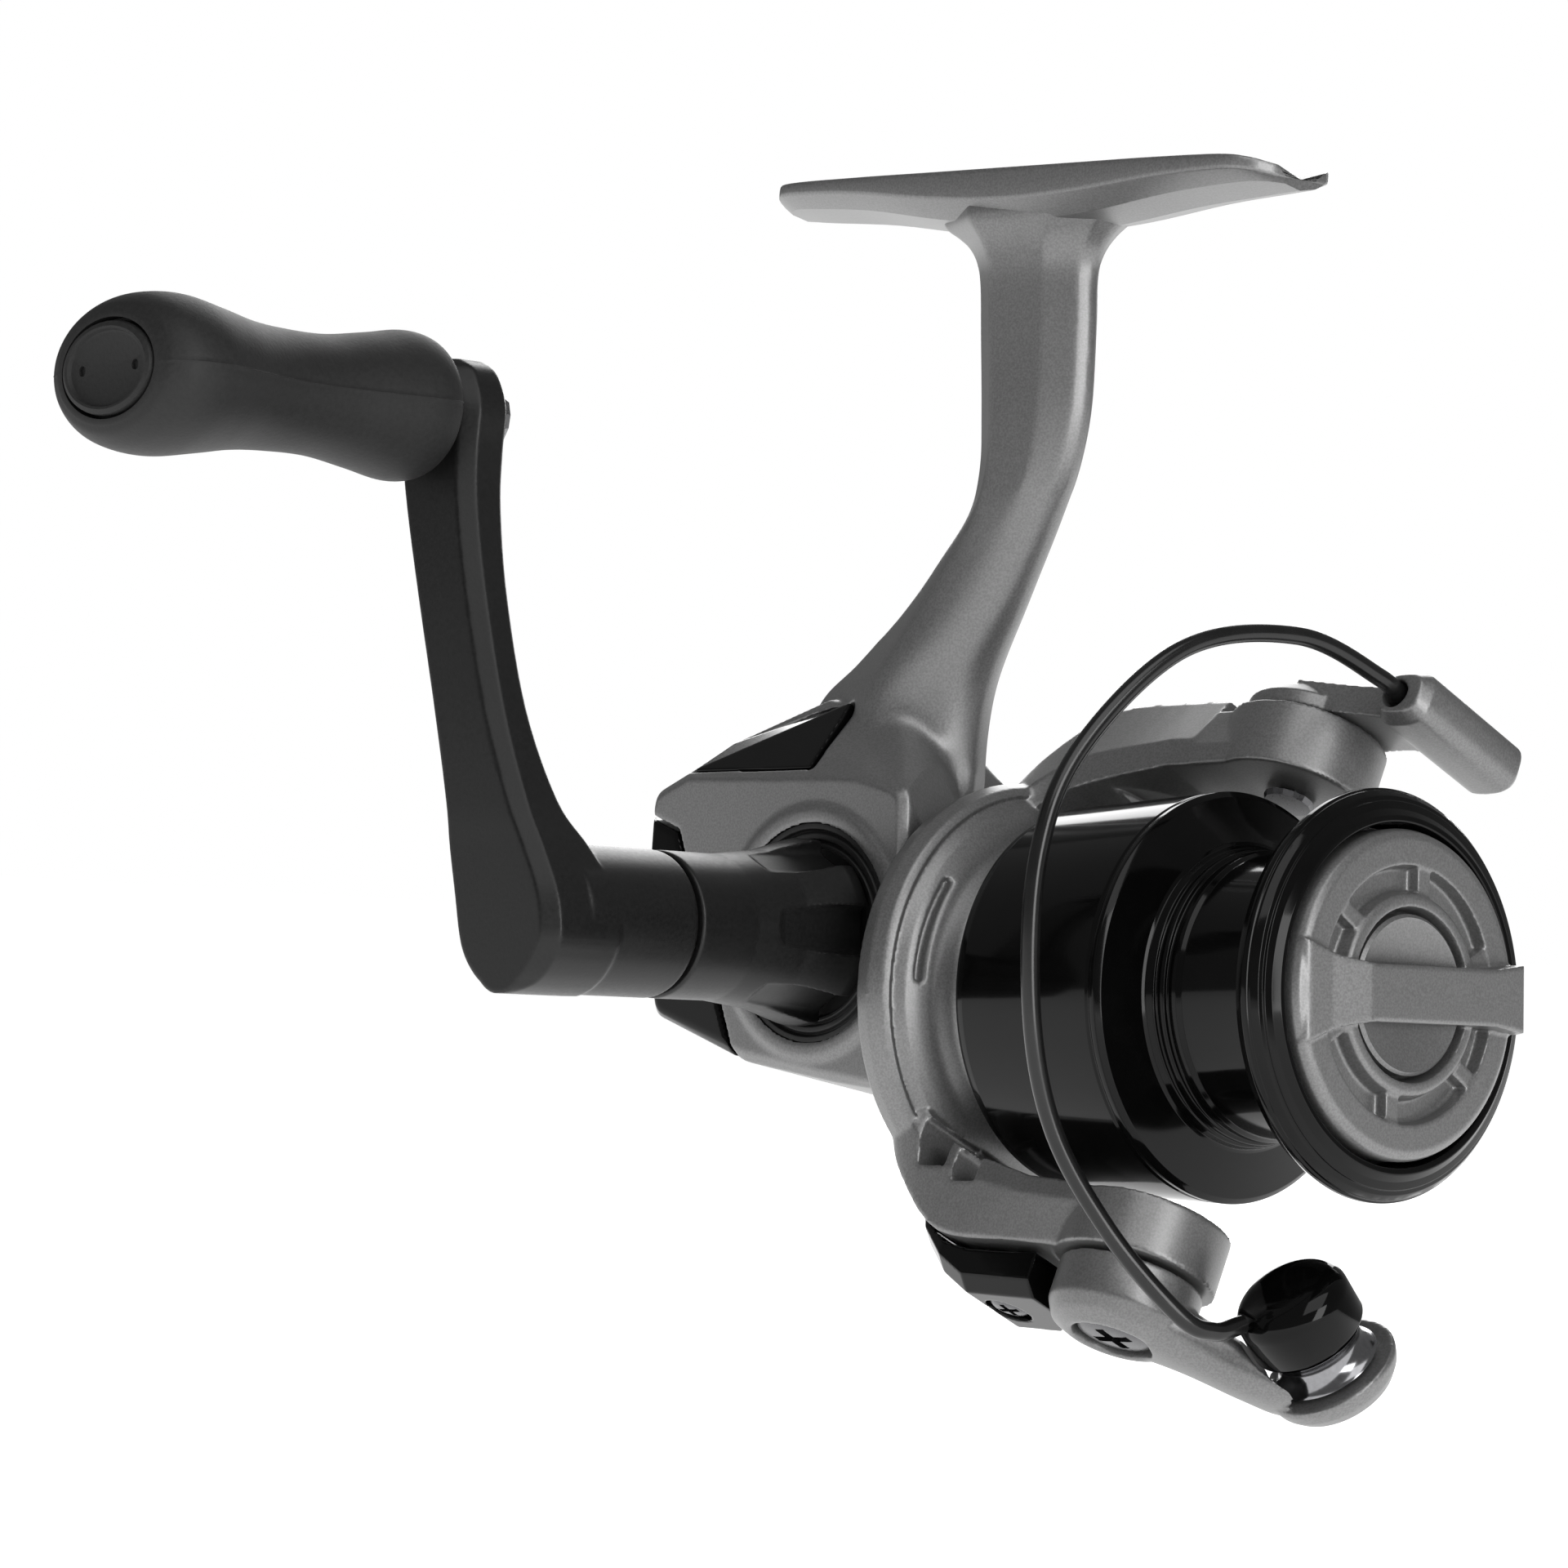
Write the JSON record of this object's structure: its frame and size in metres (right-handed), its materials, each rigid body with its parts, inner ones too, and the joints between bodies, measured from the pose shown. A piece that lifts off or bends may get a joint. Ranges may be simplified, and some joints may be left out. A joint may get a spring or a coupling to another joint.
{
  "type": "spinning fishing reel",
  "caption": "Open-face spinning reel with foot, cranked handle, turning rotor, folding bail with line roller, skirted spool and front drag knob.",
  "frame": {"origin": "centre of the flat seat strip on top of the foot", "axes": "+Z out of the seat towards the rod, +X along the foot towards the rod tip, handle on -Y; the spool axis lies in the XZ plane and rises 3.5 degrees towards +X"},
  "size_m": [0.0875, 0.1038, 0.1088],
  "materials": {
    "silver_paint": "satin metallic silver-grey paint",
    "black_gloss": "gloss black moulding",
    "spool_black": "gloss black anodised aluminium",
    "handle_black": "satin black",
    "grip_rubber": "matte soft-touch rubber",
    "chrome_metal": "polished",
    "steel": "machined",
    "wire_black": "black plated wire",
    "brass": "machined",
    "gear_alloy": "die cast",
    "seal_rubber": "moulded",
    "drag_felt": "oiled felt"
  },
  "bodies": {
    "frame": {"frame_casting": "silver_paint", "side_cover": "silver_paint", "rear_cover": "black_gloss", "shoulder_panel_near": "black_gloss", "shoulder_panel_far": "black_gloss", "side_screw_1": "steel", "side_screw_2": "steel", "side_screw_3": "steel", "side_screw_4": "steel", "rear_screw": "steel", "port_seal": "seal_rubber", "drive_bearing_near": "steel", "drive_bearing_far": "steel", "pinion_bearing": "steel", "clutch": "handle_black"},
    "crank": {"handle_arm": "handle_black", "handle_sleeve": "handle_black", "knob_post": "steel", "drive_gear": "gear_alloy"},
    "knob": {"knob_grip": "grip_rubber", "knob_cap": "grip_rubber"},
    "oscillation": {"oscillation_gear": "brass"},
    "rotor_head": {"rotor": "silver_paint", "pinion": "brass", "rotor_nut": "steel", "arm_cover": "black_gloss", "arm_cover_screw": "steel"},
    "shaft": {"main_shaft": "steel", "slider": "brass", "shaft_washer": "steel"},
    "spool_set": {"spool": "spool_black", "drag_washers": "drag_felt", "drag_retainer": "steel"},
    "drag": {"drag_knob": "silver_paint", "drag_button": "silver_paint", "drag_nut": "steel"},
    "bail": {"bail_arm": "silver_paint", "bail_arm_screw": "steel", "bail_lever": "silver_paint", "bail_lever_pin": "steel", "bail_wire": "wire_black", "roller_cap": "black_gloss"},
    "roller": {"line_roller": "chrome_metal"}
  },
  "joints": [
    {"name": "crank_turn", "type": "hinge", "parent": "frame", "child": "crank", "pos_m": [-0.01242, -0.02, -0.06728], "axis": [0, 1, 0], "continuous": true},
    {"name": "knob_spin", "type": "hinge", "parent": "crank", "child": "knob", "pos_m": [-0.02792, -0.065, -0.02345], "axis": [0, 1, 0], "continuous": true},
    {"name": "rotor_spin", "type": "hinge", "parent": "frame", "child": "rotor_head", "pos_m": [0.00791, 0, -0.07195], "axis": [0.9981, 0, 0.061], "continuous": true},
    {"name": "oscillation_spin", "type": "hinge", "parent": "frame", "child": "oscillation", "pos_m": [-0.0188, 0.0033, -0.07258], "axis": [0, 1, 0], "continuous": true},
    {"name": "shaft_slide", "type": "slide", "parent": "frame", "child": "shaft", "axis": [0.9981, 0, 0.061], "range_m": [-0.0032, 0.0023]},
    {"name": "spool_slip", "type": "hinge", "parent": "shaft", "child": "spool_set", "pos_m": [0.03585, 0, -0.07024], "axis": [0.9981, 0, 0.061], "continuous": true},
    {"name": "drag_turn", "type": "hinge", "parent": "shaft", "child": "drag", "pos_m": [0.04684, 0, -0.06957], "axis": [0.9981, 0, 0.061], "range_deg": [-540, 720]},
    {"name": "bail_flip", "type": "hinge", "parent": "rotor_head", "child": "bail", "pos_m": [0.02697, 0, -0.07079], "axis": [-0.0553, 0.4226, 0.9046], "range_deg": [0, 100]},
    {"name": "roller_spin", "type": "hinge", "parent": "bail", "child": "roller", "pos_m": [0.04254, -0.00336, -0.09933], "axis": [-0.0454, -0.6691, 0.7418], "continuous": true}
  ],
  "couplings": [
    {"joint": "rotor_spin", "follows": "crank_turn", "ratio": 5.2},
    {"joint": "oscillation_spin", "follows": "crank_turn", "ratio": -0.85714}
  ]
}
